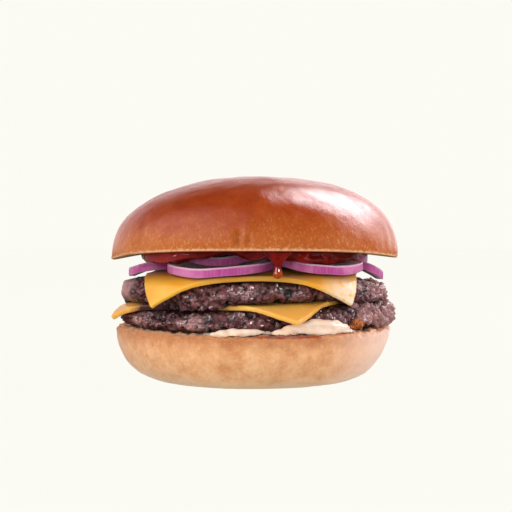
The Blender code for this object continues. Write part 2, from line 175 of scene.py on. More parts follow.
# What the gloss reflects: azimuth and elevation, full and outer half width in degrees, and colour.
REFLECTED = (
    (-160, 42, 22, 46, (1.6, 1.15, 1.25)),
    (-130, 30, 10, 27, (1.8, 1.40, 1.5)),
    (-14, 12, 6, 24, (1.2, 1.0, 1.0)),
    (24, 34, 6, 22, (4.0, 3.7, 3.9)),
    (46, 47, 10, 26, (11.0, 10.6, 11.2)),
)
# Soft panels of light: name, place, height aimed at, width and height, radiance and tint.
PANELS = (
    ("key", (0.55, 0.45, 0.66), 0.06, (0.5, 0.42), 5.0, (1, 0.975, 0.985)),
    ("right", (0.95, 0.02, 0.22), 0.04, (0.6, 0.45), 6.5, (1, 0.88, 0.98)),
    ("left", (-0.72, -0.50, 0.5), 0.05, (0.9, 0.7), 2.5, (1, 0.94, 0.97)),
    ("front", (-0.05, -0.95, 0.16), 0.03, (0.9, 0.35), 3.2, (1, 0.94, 0.94)),
)
# Two more, which only the gloss of the meat and the ketchup shows.
GLINTS = (
    ("glint", (0.32, -0.50, 0.48), 0.03, (0.26, 0.26), 60.0, (1, 0.89, 0.91)),
    ("sheen", (-0.52, -0.42, 0.24), 0.03, (0.40, 0.30), 11.0, (1, 0.84, 0.88)),
)
# How the names of these wet pieces begin.
WET = ("patty", "meat", "ketchup")


# Numbers and directions


def smoothstep(low, high, value):
    share = min(1.0, max(0.0, (value - low) / (high - low)))
    return share * share * (3 - 2 * share)


def hump(value, start, full, fading, gone):
    """0 up to start, 1 from full to fading, and 0 again past gone."""
    return smoothstep(start, full, value) * (1 - smoothstep(fading, gone, value))


def mix(first, second, share):
    return first + (second - first) * share


def direction_of(place):
    """The direction of a place from the upright axis."""
    return math.degrees(math.atan2(place.y, place.x))


def sector_of(place):
    """Which sector around the upright axis a place is in."""
    return round(direction_of(place) / (360 / SECTORS)) % SECTORS


def sector_bump(place, towards, width):
    """1 in the direction towards, falling to 0 at width to either side."""
    off = (direction_of(place) - towards + 180) % 360 - 180
    return 1 - smoothstep(0, width, abs(off))


# Meshes


def solid_copy(node):
    """A bmesh of a solid, with its facets joined back into quads."""
    copy = bmesh.new()
    copy.from_mesh(NODES[node].data)
    bmesh.ops.remove_doubles(copy, verts=copy.verts, dist=0.001 * MM)
    bmesh.ops.join_triangles(
        copy,
        faces=copy.faces,
        angle_face_threshold=math.radians(50),
        angle_shape_threshold=math.radians(60),
    )
    return copy


def crease_sharp_edges(body, angle, strength):
    layer = body.edges.layers.float.get("crease_edge") or body.edges.layers.float.new("crease_edge")
    for edge in body.edges:
        if len(edge.link_faces) == 2 and edge.calc_face_angle() > math.radians(angle):
            edge[layer] = strength


def refined(body, subdivisions, voxel=None, smoothing=0):
    """The mesh of a bmesh after subdivision and, if asked for, an even remesh and some smoothing."""
    draft = bpy.data.meshes.new("draft")
    body.to_mesh(draft)
    body.free()
    holder = bpy.data.objects.new("draft", draft)
    bpy.context.collection.objects.link(holder)
    if subdivisions:
        subsurf = holder.modifiers.new("subdivide", "SUBSURF")
        subsurf.levels = subdivisions
        subsurf.render_levels = subdivisions
    if voxel:
        remesh = holder.modifiers.new("remesh", "REMESH")
        remesh.mode = "VOXEL"
        remesh.voxel_size = voxel
    if smoothing:
        smooth = holder.modifiers.new("smooth", "SMOOTH")
        smooth.iterations = smoothing
    bpy.context.view_layer.update()
    graph = bpy.context.evaluated_depsgraph_get()
    mesh = bpy.data.meshes.new_from_object(holder.evaluated_get(graph))
    bpy.data.objects.remove(holder)
    bpy.data.meshes.remove(draft)
    return mesh


def skin_of(mesh):
    """A search tree over a mesh, to find what is near a point."""
    return BVHTree.FromPolygons([v.co for v in mesh.vertices], [p.vertices for p in mesh.polygons])


def room(neighbours, place, direction, reach, gap=GAP):
    """How far a point may move before it comes within gap of a neighbour, up to reach."""
    for skin in neighbours:
        distance = skin.ray_cast(place, direction, reach + gap)[3]
        if distance is not None:
            reach = max(0.0, min(reach, distance - gap))
    return reach


def boxed(place):
    """A place, moved back inside the solids' own box where it is outside."""
    low, high = CAD_BOX
    return Vector(min(h, max(l, c)) for l, h, c in zip(low, high, place))


def displace(mesh, field, neighbours=()):
    """Moves each vertex along its normal by field(place, normal).

    It moves outwards only as far as the neighbours allow.
    """
    places = [v.co.copy() for v in mesh.vertices]
    normals = [Vector(n.vector) for n in mesh.vertex_normals]
    for vertex, place, normal in zip(mesh.vertices, places, normals):
        amount = field(place, normal)
        if amount > 0:
            amount = room(neighbours, place, normal, amount)
        vertex.co = boxed(place + normal * amount)


def mark(mesh, name, values):
    """Stores one number per vertex, for the materials to read."""
    layer = mesh.attributes.new(name, "FLOAT", "POINT")
    layer.data.foreach_set("value", values)


def show(name, mesh, look, nodes=()):
    """Adds a finished piece: it rides on the burger's one body and stands for its solids."""
    mesh.materials.clear()
    mesh.materials.append(look)
    mesh.shade_smooth()
    mesh.name = name
    piece = bpy.data.objects.new(name, mesh)
    bpy.context.collection.objects.link(piece)
    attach(piece, "root")
    if nodes:
        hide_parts(*nodes)
    return piece


# Node helpers


def feed(tree, socket, value):
    """Fills a socket from another node's output, or with a constant."""
    if isinstance(value, bpy.types.NodeSocket):
        tree.links.new(value, socket)
    elif socket.type == "RGBA":
        socket.default_value = (*value, 1)
    else:
        socket.default_value = value


def add(tree, kind, inputs=None, **settings):
    """Adds a node, with its settings and then its inputs."""
    made = tree.nodes.new(kind)
    for key, value in settings.items():
        setattr(made, key, value)
    for key, value in (inputs or {}).items():
        feed(tree, made.inputs[key], value)
    return made


def maths(tree, operation, first, second):
    return add(tree, "ShaderNodeMath", {0: first, 1: second}, operation=operation).outputs[0]


def plus(tree, first, second):
    return maths(tree, "ADD", first, second)


def times(tree, first, second):
    return maths(tree, "MULTIPLY", first, second)


def ramp(tree, value, low, high, out_low=0.0, out_high=1.0):
    """value from low to high becomes out_low to out_high, eased at both ends."""
    inputs = {"Value": value, "From Min": low, "From Max": high, "To Min": out_low, "To Max": out_high}
    return add(tree, "ShaderNodeMapRange", inputs, interpolation_type="SMOOTHSTEP").outputs["Result"]


def blend(tree, share, first, second):
    """A colour between two, by share."""
    inputs = {0: share, 6: first, 7: second}
    return add(tree, "ShaderNodeMix", inputs, data_type="RGBA").outputs[2]


def grain(tree, place, scale, detail=3.0, roughness=0.55):
    """Noise over a place, from about 0.25 to 0.75."""
    inputs = {"Vector": place, "Scale": scale, "Detail": detail, "Roughness": roughness}
    return add(tree, "ShaderNodeTexNoise", inputs).outputs["Fac"]


def cells(tree, place, scale):
    """The distance to the middle of the nearest cell."""
    return add(tree, "ShaderNodeTexVoronoi", {"Vector": place, "Scale": scale}).outputs["Distance"]


def upright(tree, place, share):
    """A place whose height counts only by a share, so that a pattern on it is drawn out upright."""
    return add(tree, "ShaderNodeMapping", {"Vector": place, "Scale": (1, 1, share)}).outputs[0]


def across_of(tree, place):
    """How far to the right a place is."""
    return add(tree, "ShaderNodeSeparateXYZ", {0: place}).outputs[0]


def attribute(tree, name):
    return add(tree, "ShaderNodeAttribute", attribute_name=name).outputs["Fac"]


def group(name, inputs, outputs, build):
    """A node group with named sockets. build(tree, ins) returns its outputs in order."""
    tree = bpy.data.node_groups.new(name, "ShaderNodeTree")
    for label, kind, default in inputs:
        socket = tree.interface.new_socket(label, in_out="INPUT", socket_type=kind)
        socket.default_value = default
    for label, kind in outputs:
        tree.interface.new_socket(label, in_out="OUTPUT", socket_type=kind)
    ins = tree.nodes.new("NodeGroupInput")
    outs = tree.nodes.new("NodeGroupOutput")
    for number, socket in enumerate(build(tree, ins.outputs)):
        tree.links.new(socket, outs.inputs[number])
    return tree


def use(tree, node_group, inputs=None):
    return add(tree, "ShaderNodeGroup", inputs, node_tree=node_group).outputs


def build_millimetres(tree, ins):
    """The object's own coordinates in millimetres, whole and as a height."""
    place = add(tree, "ShaderNodeTexCoord").outputs["Object"]
    scaled = add(tree, "ShaderNodeVectorMath", {0: place, "Scale": 1 / MM}, operation="SCALE").outputs[0]
    height = add(tree, "ShaderNodeSeparateXYZ", {0: scaled}).outputs[2]
    return scaled, height


def build_mottle(tree, ins):
    """Blotches: coarse and fine noise together, as one mask."""
    coarse = grain(tree, ins["Place"], 0.16, 4.0, 0.6)
    fine = grain(tree, ins["Place"], 0.9, 3.0, 0.6)
    both = plus(tree, times(tree, coarse, 0.65), times(tree, fine, 0.35))
    low = maths(tree, "SUBTRACT", 0.5, ins["Softness"])
    high = plus(tree, 0.5, ins["Softness"])
    return (ramp(tree, both, low, high),)


def build_wander(tree, ins):
    """A level that wanders up and down from place to place."""
    centred = maths(tree, "SUBTRACT", grain(tree, ins["Place"], ins["Scale"], 4.0, 0.65), 0.5)
    return (plus(tree, ins["Level"], times(tree, centred, ins["Amount"])),)


MILLIMETRES = group(
    "millimetres",
    (),
    (("Place", "NodeSocketVector"), ("Height", "NodeSocketFloat")),
    build_millimetres,
)
MOTTLE = group(
    "mottle",
    (("Place", "NodeSocketVector", (0, 0, 0)), ("Softness", "NodeSocketFloat", 0.12)),
    (("Mask", "NodeSocketFloat"),),
    build_mottle,
)
WANDER = group(
    "wander",
    (
        ("Place", "NodeSocketVector", (0, 0, 0)),
        ("Level", "NodeSocketFloat", 0.0),
        ("Scale", "NodeSocketFloat", 0.2),
        ("Amount", "NodeSocketFloat", 9.0),
    ),
    (("Level", "NodeSocketFloat"),),
    build_wander,
)


def new_material(name, **constants):
    """A material with its Principled shader, and the millimetre coordinates to feed it."""
    made = bpy.data.materials.new(name)
    made.use_nodes = True
    tree = made.node_tree
    shader = tree.nodes["Principled BSDF"]
    for key, value in constants.items():
        shader.inputs[key.replace("_", " ")].default_value = value
    place, height = use(tree, MILLIMETRES)
    return made, tree, shader, place, height


def bump(tree, shader, height, strength, distance, coat=False):
    """Fine relief on a shader, and on the film over it too if coat is set."""
    made = add(tree, "ShaderNodeBump", {"Height": height, "Strength": strength, "Distance": distance})
    tree.links.new(made.outputs[0], shader.inputs["Normal"])
    if coat:
        tree.links.new(made.outputs[0], shader.inputs["Coat Normal"])


# Materials


def crown_material():
    """Egg-washed crust: orange brown, paler towards the rim, with a thin pale lip and fine wrinkles."""
    made, tree, shader, place, _ = new_material(
        "golden_crust",
        Roughness=0.5,
        IOR=1.35,
        Specular_IOR_Level=0.1,
        Coat_Roughness=0.05,
        Coat_IOR=1.5,
        Subsurface_Weight=0.06,
        Subsurface_Radius=(2 * MM, 0.8 * MM, 0.3 * MM),
        Subsurface_Scale=1.0,
    )
    top_dark, top_light = (0.31, 0.037, 0.003), (0.39, 0.058, 0.006)
    low_dark, low_light, low_left_sheen = (0.39, 0.078, 0.011), (0.54, 0.160, 0.038), (0.64, 0.24, 0.09)
    flecked, lip_pale, pinch_shade = (0.78, 0.40, 0.12), (0.90, 0.54, 0.30), (0.25, 0.040, 0.008)
    toast_pale, toast_dark = (0.62, 0.36, 0.17), (0.30, 0.12, 0.04)
    rise = attribute(tree, "rise")
    under = attribute(tree, "under")

    top = blend(tree, use(tree, MOTTLE, {"Place": place, "Softness": 0.16})["Mask"], top_dark, top_light)
    level = use(tree, WANDER, {"Place": place, "Level": rise, "Scale": 0.12, "Amount": 16.0})["Level"]
    low = blend(tree, grain(tree, place, 0.6, 4.0, 0.6), low_dark, low_light)
    # Painted reflection: the lower crust is painted paler towards the left, as if it mirrored a soft light
    # there.
    low = blend(tree, ramp(tree, across_of(tree, place), -50.0, -16.0, 0.5, 0.0), low, low_left_sheen)
    colour = blend(tree, ramp(tree, level, 1.0, 16.0), low, top)
    streak = ramp(tree, grain(tree, upright(tree, place, 0.7), 1.1, 5.0, 0.75), 0.50, 0.68)
    near_rim = times(tree, streak, ramp(tree, level, 3.0, 14.0, 0.5, 0.0))
    colour = blend(tree, near_rim, colour, flecked)
    ragged = plus(tree, rise, times(tree, grain(tree, place, 0.8, 3.0, 0.7), 2.4))
    lip = ramp(tree, ragged, 1.3, 2.6, 1.0, 0.0)
    colour = blend(tree, times(tree, lip, 0.9), colour, lip_pale)
    # Painted shade in the pinched dents.
    colour = blend(tree, attribute(tree, "pinch"), colour, pinch_shade)
    toast = blend(tree, grain(tree, place, 0.7, 4.0, 0.7), toast_pale, toast_dark)
    colour = blend(tree, under, colour, toast)
    tree.links.new(colour, shader.inputs["Base Color"])

    pits = times(tree, grain(tree, place, 1.6, 5.0, 0.65), 0.9)
    wrinkles = times(tree, cells(tree, upright(tree, place, 0.55), 1.3), 0.35)
    bump(tree, shader, plus(tree, pits, wrinkles), 0.26, 0.4 * MM, coat=True)
    gloss = ramp(tree, rise, 0.0, 9.0, 0.3, 0.85)
    tree.links.new(times(tree, gloss, ramp(tree, under, 0, 1, 1, 0)), shader.inputs["Coat Weight"])
    return made


def heel_material():
    """Matt pale crust with a browner toasted ring under the cut face."""
    made, tree, shader, place, height = new_material(
        "pale_crust",
        IOR=1.42,
        Sheen_Weight=0.3,
        Sheen_Roughness=0.4,
        Subsurface_Weight=0.12,
        Subsurface_Radius=(2.5 * MM, 1.2 * MM, 0.5 * MM),
        Subsurface_Scale=1.0,
    )
    side_pale, side_brown, ring = (0.92, 0.53, 0.26), (0.68, 0.285, 0.10), (0.50, 0.180, 0.058)
    foot, right_light_paint = (0.86, 0.56, 0.30), (0.96, 0.72, 0.60)
    freckled, streaked, specked = (0.45, 0.16, 0.055), (0.96, 0.62, 0.36), (0.92, 0.62, 0.36)
    toast_pale, toast_dark, juicy = (0.86, 0.44, 0.18), (0.56, 0.22, 0.07), (0.34, 0.070, 0.022)
    inside = attribute(tree, "cut")
    juice = attribute(tree, "juice")

    colour = blend(tree, use(tree, MOTTLE, {"Place": place, "Softness": 0.2})["Mask"], side_pale, side_brown)
    level = use(tree, WANDER, {"Place": place, "Level": height, "Scale": 0.2, "Amount": 9.0})["Level"]
    colour = blend(tree, ramp(tree, level, 13.0, 21.0), colour, ring)
    colour = blend(tree, ramp(tree, level, -1.0, 6.0, 1.0, 0.0), colour, foot)
    # Painted light: the crust is painted paler towards the right, where the light falls.
    colour = blend(tree, ramp(tree, across_of(tree, place), 22.0, 52.0, 0.0, 0.75), colour, right_light_paint)
    freckle = ramp(tree, grain(tree, place, 1.1, 4.0, 0.7), 0.6, 0.72)
    colour = blend(tree, times(tree, freckle, 0.4), colour, freckled)
    streak = ramp(tree, grain(tree, upright(tree, place, 0.35), 0.5, 5.0, 0.7), 0.38, 0.66, 0.0, 0.25)
    streak = times(tree, streak, ramp(tree, height, 12.0, 18.0, 1.0, 0.2))
    colour = blend(tree, streak, colour, streaked)
    speck = ramp(tree, grain(tree, place, 2.2, 2.0, 0.6), 0.58, 0.68)
    colour = blend(tree, times(tree, speck, 0.3), colour, specked)
    toast = blend(tree, grain(tree, place, 0.8, 5.0, 0.7), toast_pale, toast_dark)
    colour = blend(tree, inside, colour, toast)
    colour = blend(tree, juice, colour, juicy)
    tree.links.new(colour, shader.inputs["Base Color"])

    tree.links.new(ramp(tree, juice, 0.3, 1.0, 0.62, 0.15), shader.inputs["Roughness"])
    crumb_relief = times(tree, inside, grain(tree, place, 2.5, 3.0, 0.7))
    bump(tree, shader, plus(tree, grain(tree, place, 1.3, 5.0, 0.7), crumb_relief), 0.45, 0.35 * MM)
    return made


def patty_material():
    """Seared ground beef: dark crevices of painted shade, grey-brown nubs with redder flecks, and fat that
    glistens.
    """
    made, tree, shader, place, _ = new_material(
        "seared_beef",
        IOR=1.5,
        Specular_IOR_Level=0.15,
        Coat_IOR=1.55,
        Coat_Roughness=0.09,
    )
    seared, brown, red = (0.072, 0.016, 0.017), (0.24, 0.073, 0.077), (0.27, 0.065, 0.030)
    fatty, dry_pale, lit_top_paint = (0.26, 0.18, 0.16), (0.42, 0.20, 0.21), (0.36, 0.175, 0.18)
    pale_sheen_paint, crevice_shade = (0.64, 0.35, 0.335), (0.012, 0.006, 0.005)

    meat = blend(tree, ramp(tree, grain(tree, place, 0.35, 4.0, 0.65), 0.35, 0.65), seared, brown)
    fleck = ramp(tree, grain(tree, place, 1.0, 3.0, 0.6), 0.58, 0.70)
    meat = blend(tree, times(tree, fleck, 0.55), meat, red)
    fat = ramp(tree, cells(tree, place, 0.55), 0.16, 0.30, 1.0, 0.0)
    meat = blend(tree, times(tree, fat, 0.35), meat, fatty)
    dry = ramp(tree, grain(tree, place, 1.9, 3.0, 0.75), 0.55, 0.68)
    meat = blend(tree, times(tree, dry, 0.5), meat, dry_pale)
    # Painted light: the tops of the nubs are painted lighter.
    tops = ramp(tree, attribute(tree, "tops"), 0.0, 1.0)
    meat = blend(tree, times(tree, tops, 0.5), meat, lit_top_paint)
    # Painted sheen: paler spots where light glances off the meat.
    meat = blend(tree, attribute(tree, "pale"), meat, pale_sheen_paint)
    # Painted shade: the hollows between the nubs, and the flat faces where the patties meet their
    # neighbours, are painted near black.
    colour = blend(tree, attribute(tree, "hollow"), meat, crevice_shade)
    tree.links.new(colour, shader.inputs["Base Color"])

    wet = ramp(tree, grain(tree, place, 0.16, 3.0, 0.6), 0.36, 0.52)
    tree.links.new(ramp(tree, wet, 0.0, 1.0, 0.62, 0.30), shader.inputs["Roughness"])
    tree.links.new(times(tree, wet, 0.8), shader.inputs["Coat Weight"])
    relief = plus(tree, grain(tree, place, 1.8, 5.0, 0.7), times(tree, cells(tree, place, 1.1), 0.8))
    bump(tree, shader, relief, 0.9, 0.9 * MM)
    # The wet film over the meat has a broader relief of its own.
    here = add(tree, "ShaderNodeTexCoord").outputs["Object"]
    broad = grain(tree, here, 0.75 / MM, 2.0, 0.5)
    film = add(tree, "ShaderNodeBump", {"Height": broad, "Distance": 0.8 * MM})
    tree.links.new(film.outputs[0], shader.inputs["Coat Normal"])
    return made


def cheese_material():
    """Processed cheese softened by the heat: even, waxy and slightly translucent."""
    made, tree, shader, place, _ = new_material(
        "cheese",
        Roughness=0.36,
        IOR=1.45,
        Coat_Weight=0.4,
        Coat_Roughness=0.2,
        Subsurface_Weight=0.35,
        Subsurface_Radius=(3.0 * MM, 1.6 * MM, 0.4 * MM),
        Subsurface_Scale=1.0,
    )
    amber, yellow = (0.95, 0.45, 0.035), (0.97, 0.52, 0.065)
    glare_paint, shade_colour = (0.98, 0.80, 0.64), (0.055, 0.016, 0.010)
    colour = blend(tree, ramp(tree, grain(tree, place, 0.07, 3.0, 0.5), 0.35, 0.65), amber, yellow)
    film = times(tree, attribute(tree, "film"), ramp(tree, grain(tree, place, 0.4, 4.0, 0.7), 0.28, 0.6))
    # Painted highlight: a patchy pale glare on the upper slice's right corner, and a little over the whole
    # lower slice.
    colour = blend(tree, times(tree, film, 0.8), colour, glare_paint)
    # Painted shade: darker under the onions on the upper slice, and in the crevice on the lower.
    colour = blend(tree, attribute(tree, "stain"), colour, shade_colour)
    tree.links.new(colour, shader.inputs["Base Color"])
    bump(tree, shader, grain(tree, place, 0.5, 3.0, 0.55), 0.16, 0.3 * MM, coat=True)
    return made


def onion_material():
    """Red onion: a veined purple outer face, and pale moist cut faces."""
    made, tree, shader, place, _ = new_material(
        "red_onion",
        Roughness=0.28,
        IOR=1.42,
        Coat_Weight=0.35,
        Coat_Roughness=0.15,
        Subsurface_Weight=0.3,
        Subsurface_Radius=(1.6 * MM, 0.9 * MM, 1.2 * MM),
        Subsurface_Scale=1.0,
    )
    deep, bright, washed = (0.42, 0.045, 0.25), (0.60, 0.125, 0.41), (0.63, 0.20, 0.42)
    flesh_pale, flesh_pink = (0.80, 0.62, 0.68), (0.70, 0.42, 0.56)
    along = add(tree, "ShaderNodeCombineXYZ", {0: attribute(tree, "around")}).outputs[0]
    vein = grain(tree, along, 1.1, 4.0, 0.75)
    purple = blend(tree, ramp(tree, vein, 0.38, 0.66), deep, bright)
    purple = blend(tree, ramp(tree, grain(tree, place, 0.1, 3.0, 0.6), 0.4, 0.66), purple, washed)
    flesh = blend(tree, ramp(tree, vein, 0.35, 0.7), flesh_pale, flesh_pink)
    colour = blend(tree, attribute(tree, "skin"), flesh, purple)
    tree.links.new(colour, shader.inputs["Base Color"])
    bump(tree, shader, vein, 0.25, 0.2 * MM)
    return made


def ketchup_material():
    """Dark glossy red, lighter at the left with a painted sheen, and where the drip is thin."""
    made, tree, shader, place, height = new_material(
        "ketchup_red",
        Roughness=0.2,
        IOR=1.3,
        Specular_IOR_Level=0.05,
        Coat_Weight=0.75,
        Coat_Roughness=0.04,
        Coat_IOR=1.5,
        Subsurface_Weight=0.2,
        Subsurface_Radius=(1.6 * MM, 0.25 * MM, 0.12 * MM),
        Subsurface_Scale=1.0,
    )
    dark, red = (0.11, 0.001, 0.002), (0.21, 0.004, 0.002)
    left_sheen_pink, drip_orange = (0.40, 0.035, 0.040), (0.36, 0.060, 0.006)
    colour = blend(tree, ramp(tree, grain(tree, place, 0.25, 3.0, 0.6), 0.35, 0.65), dark, red)
    # Painted sheen: the smear is painted paler pink towards the left.
    colour = blend(tree, ramp(tree, across_of(tree, place), -34.0, -14.0, 0.7, 0.0), colour, left_sheen_pink)
    colour = blend(tree, ramp(tree, height, 41.5, 44.5, 0.9, 0.0), colour, drip_orange)
    tree.links.new(colour, shader.inputs["Base Color"])
    bump(tree, shader, grain(tree, place, 0.7, 4.0, 0.6), 0.25, 0.3 * MM)
    return made


def sauce_material():
    """Creamy pink burger sauce."""
    made, tree, shader, place, _ = new_material(
        "pink_sauce",
        Roughness=0.28,
        IOR=1.45,
        Coat_Weight=0.4,
        Coat_Roughness=0.12,
        Subsurface_Weight=0.25,
        Subsurface_Radius=(2.0 * MM, 1.2 * MM, 0.7 * MM),
        Subsurface_Scale=1.0,
    )
    peach, cream = (0.95, 0.70, 0.50), (0.97, 0.80, 0.66)
    colour = blend(tree, ramp(tree, grain(tree, place, 0.3, 3.0, 0.6), 0.3, 0.7), peach, cream)
    tree.links.new(colour, shader.inputs["Base Color"])
    bump(tree, shader, grain(tree, place, 0.5, 3.0, 0.55), 0.15, 0.3 * MM)
    return made


def crumb_material():
    """Toasted bread crumb."""
    made, tree, shader, place, _ = new_material("bread_crumb", Roughness=0.6)
    toasted, burnt = (0.72, 0.27, 0.09), (0.22, 0.045, 0.012)
    tone = grain(tree, place, 1.0, 4.0, 0.7)
    colour = blend(tree, ramp(tree, tone, 0.38, 0.6), toasted, burnt)
    tree.links.new(colour, shader.inputs["Base Color"])
    bump(tree, shader, tone, 0.6, 0.8 * MM)
    return made


# Pieces


def off_pinch(mm, across, up, wide, tall):
    """How far a place at the front is from the middle of a pinch, as a share of the pinch's size."""
    if mm.y >= 0:
        return FAR_OFF
    return math.hypot((mm.x - across) / wide, (mm.z - up) / tall)


def crown_dents(place, normal):
    """Broad unevenness, a puckered band, a rough rim and the pinched dents, on all but the underside."""
    if normal.z <= -0.5:
        return 0.0
    mm = place / MM
    around = math.atan2(mm.y, mm.x)
    amount = 0.5 * (noise.fractal(mm * 0.045, 1.0, 2.0, 3) - 0.3)
    amount += 0.22 * hump(mm.z, *PUCKERED) * (noise.noise(Vector((around * 13, mm.z * 0.06, 3))) - 0.4)
    amount += 0.06 * (noise.noise(mm * 0.5) - 0.5)
    amount += 0.45 * (1 - smoothstep(*ROUGH_RIM, mm.z)) * noise.fractal(mm * 0.45, 0.9, 2.0, 3)
    for *pinch, deep in PINCHES:
        amount -= deep * (1 - smoothstep(0.1, 1.15, off_pinch(mm, *pinch)))
    return amount * MM


def make_crown(look, neighbours):
    """The dented top bun. Its rim droops, and its lip, pinches and underside are marked; the pinches for
    painted shade.
    """
    mesh = refined(solid_copy("crown"), 3)
    # The pinch mark says where shade is painted into the dents.
    pinch_shade = []
    for vertex in mesh.vertices:
        nearest = min(off_pinch(vertex.co / MM, *pinch) for *pinch, deep in PINCHES)
        pinch_shade.append(0.32 * (1 - smoothstep(0.1, 0.9, nearest)))
    mark(mesh, "pinch", pinch_shade)
    displace(mesh, crown_dents)

    for vertex in mesh.vertices:
        mm = vertex.co / MM
        droop = DROOP
        for towards, width, depth in DROOPS:
            droop += depth * sector_bump(mm, towards, width)
        low_down = smoothstep(*DROOP_RADIUS, mm.xy.length) * (1 - smoothstep(*DROOP_HEIGHT, mm.z))
        vertex.co.z -= room(neighbours, vertex.co, DOWN, low_down * droop * MM, CROWN_GAP)

    rim = {}
    for vertex in mesh.vertices:
        if vertex.co.xy.length > 50 * MM:
            sector = sector_of(vertex.co)
            rim[sector] = min(rim.get(sector, 1), vertex.co.z)
    mark(mesh, "rise", [(v.co.z - rim[sector_of(v.co)]) / MM for v in mesh.vertices])
    mark(mesh, "under", [smoothstep(0.55, 0.85, -n.vector.z) for n in mesh.vertex_normals])
    return show("crown_crust", mesh, look, ["crown"])


def heel_unevenness(place, normal):
    """A soft crust, flat at the foot and ragged at the cut rim."""
    mm = place / MM
    if mm.z < 0.4:
        return 0.0
    amount = 0.5 * (noise.fractal(mm * 0.05, 1.0, 2.0, 3) - 0.35)
    amount += 0.12 * (noise.noise(mm * 0.45) - 0.5)
    amount += smoothstep(*HEEL_RIM, mm.z) * max(-0.35, 0.9 * noise.fractal(mm * 0.4, 0.8, 2.0, 4))
    return amount * MM


def make_heel(look, neighbours):
    """The bottom bun, with its cut face and the juice at its rim marked."""
    mesh = refined(solid_copy("heel"), 3)
    displace(mesh, heel_unevenness, neighbours)
    mark(mesh, "cut", [smoothstep(0.6, 0.9, n.vector.z) for n in mesh.vertex_normals])
    juice = []
    for vertex in mesh.vertices:
        off = vertex.co / MM - JUICE_PLACE
        away = Vector(o / reach for o, reach in zip(off, JUICE_REACH)).length
        away += 0.35 * noise.noise(vertex.co / MM * 0.35)
        juice.append(1 - smoothstep(0.55, 1.0, away))
    mark(mesh, "juice", juice)
    return show("heel_crust", mesh, look, ["heel"])


def nub(distance, round_part):
    """The height of one nub of meat: a dome that falls into the crevice around it."""
    return math.sqrt(max(0.0, 1 - (distance / round_part) ** 2))


def make_patty(node, look, neighbours, seed):
    """Minced meat: large and small nubs with crevices between them, smoother and with a paler painted sheen
    at a few spots.
    """
    mesh = refined(solid_copy(node), 1, voxel=MEAT_STEP, smoothing=2)
    shift = Vector((seed, -seed, seed * 0.5))
    hollows, pales, tops = [], [], []

    def minced(place, normal):
        mm = place / MM
        radius = mm.xy.length
        warp = Vector(noise.noise_vector(mm * 0.22 + shift))
        fine = noise.fractal(mm * 0.9 + shift, 0.8, 2.0, 4)
        height = 0.0
        for per_mm, warped, sign, tall, round_part, level in NUBS:
            distance = noise.voronoi((mm + warp * warped) * per_mm + shift * sign)[0][0]
            height += tall * (nub(distance, round_part) - level)
        height += 0.45 * fine
        # The pale mark is where sheen is painted.
        pale = 0.0
        for spot, size, flatness in PALE_SPOTS[node]:
            near_spot = 1 - smoothstep(0.3, 1.0, (mm - spot).length / size)
            pale = max(pale, 0.85 * near_spot)
            height = mix(height, 0.15 * fine, flatness * near_spot)
        # Shade is painted in the hollows, and on the flat faces near the rim between the patties.
        flat = smoothstep(0.45, 0.9, abs(normal.z)) * smoothstep(40, 46, radius)
        hollows.append(max(1 - smoothstep(-0.62, 0.1, height), 0.65 * flat))
        pales.append(pale)
        # The tops mark is where light is painted onto the nubs.
        tops.append(smoothstep(0.1, 0.7, height))
        # The middle of the patty stays plain, out of sight between its neighbours.
        return height * smoothstep(34, 44, radius) * MM

    displace(mesh, minced, neighbours)
    mark(mesh, "hollow", hollows)
    mark(mesh, "pale", pales)
    mark(mesh, "tops", tops)
    return show(node + "_meat", mesh, look, [node])


def soft_slice(node, neighbours, seed):
    """The mesh of a slice of cheese with softened edges and a slightly uneven face."""
    body = solid_copy(node)
    crease_sharp_edges(body, 55, 0.85)
    mesh = refined(body, 2, voxel=CHEESE_STEP, smoothing=9)

    def softness(place, normal):
        return 0.22 * (noise.fractal(place / MM * 0.09 + Vector((seed, 0, 0)), 1.0, 2.0, 2) - 0.3) * MM

    displace(mesh, softness, neighbours)
    return mesh


def make_upper_slice(look, neighbours):
    """Its side edges hang straight down at the front, and shade is painted on it under the onions."""
    mesh = soft_slice("cheese_upper", neighbours, 5.0)
    film, stain = [], []
    for vertex in mesh.vertices:
        mm = vertex.co / MM
        inwards = DRAWN_IN[mm.x > 0] * smoothstep(34, 40, abs(mm.x)) * smoothstep(-20, -32, mm.y)
        vertex.co.x -= math.copysign(inwards * MM, mm.x)
        # Where the glare is painted.
        film.append(1 - smoothstep(0.25, 1.0, (mm - GLARE_PLACE).length / GLARE_REACH))
        stain.append(0.6 * smoothstep(36.5, 42, mm.z))
    mark(mesh, "film", film)
    mark(mesh, "stain", stain)
    return show("cheese_upper_slice", mesh, look, ["cheese_upper"])


def make_lower_slice(look, neighbours):
    """Shade is painted on it where it goes into the crevice between the patties."""
    mesh = soft_slice("cheese_lower", neighbours, 2.0)
    stain = []
    for vertex in mesh.vertices:
        mm = vertex.co / MM
        towards = direction_of(mm) + 6 * noise.noise(mm * 0.3)
        stain.append(hump(towards, *CREVICE) * smoothstep(36, 41, mm.xy.length))
    # A slight painted sheen over the whole lower slice.
    mark(mesh, "film", [0.14] * len(mesh.vertices))
    mark(mesh, "stain", stain)
    return show("cheese_lower_slice", mesh, look, ["cheese_lower"])


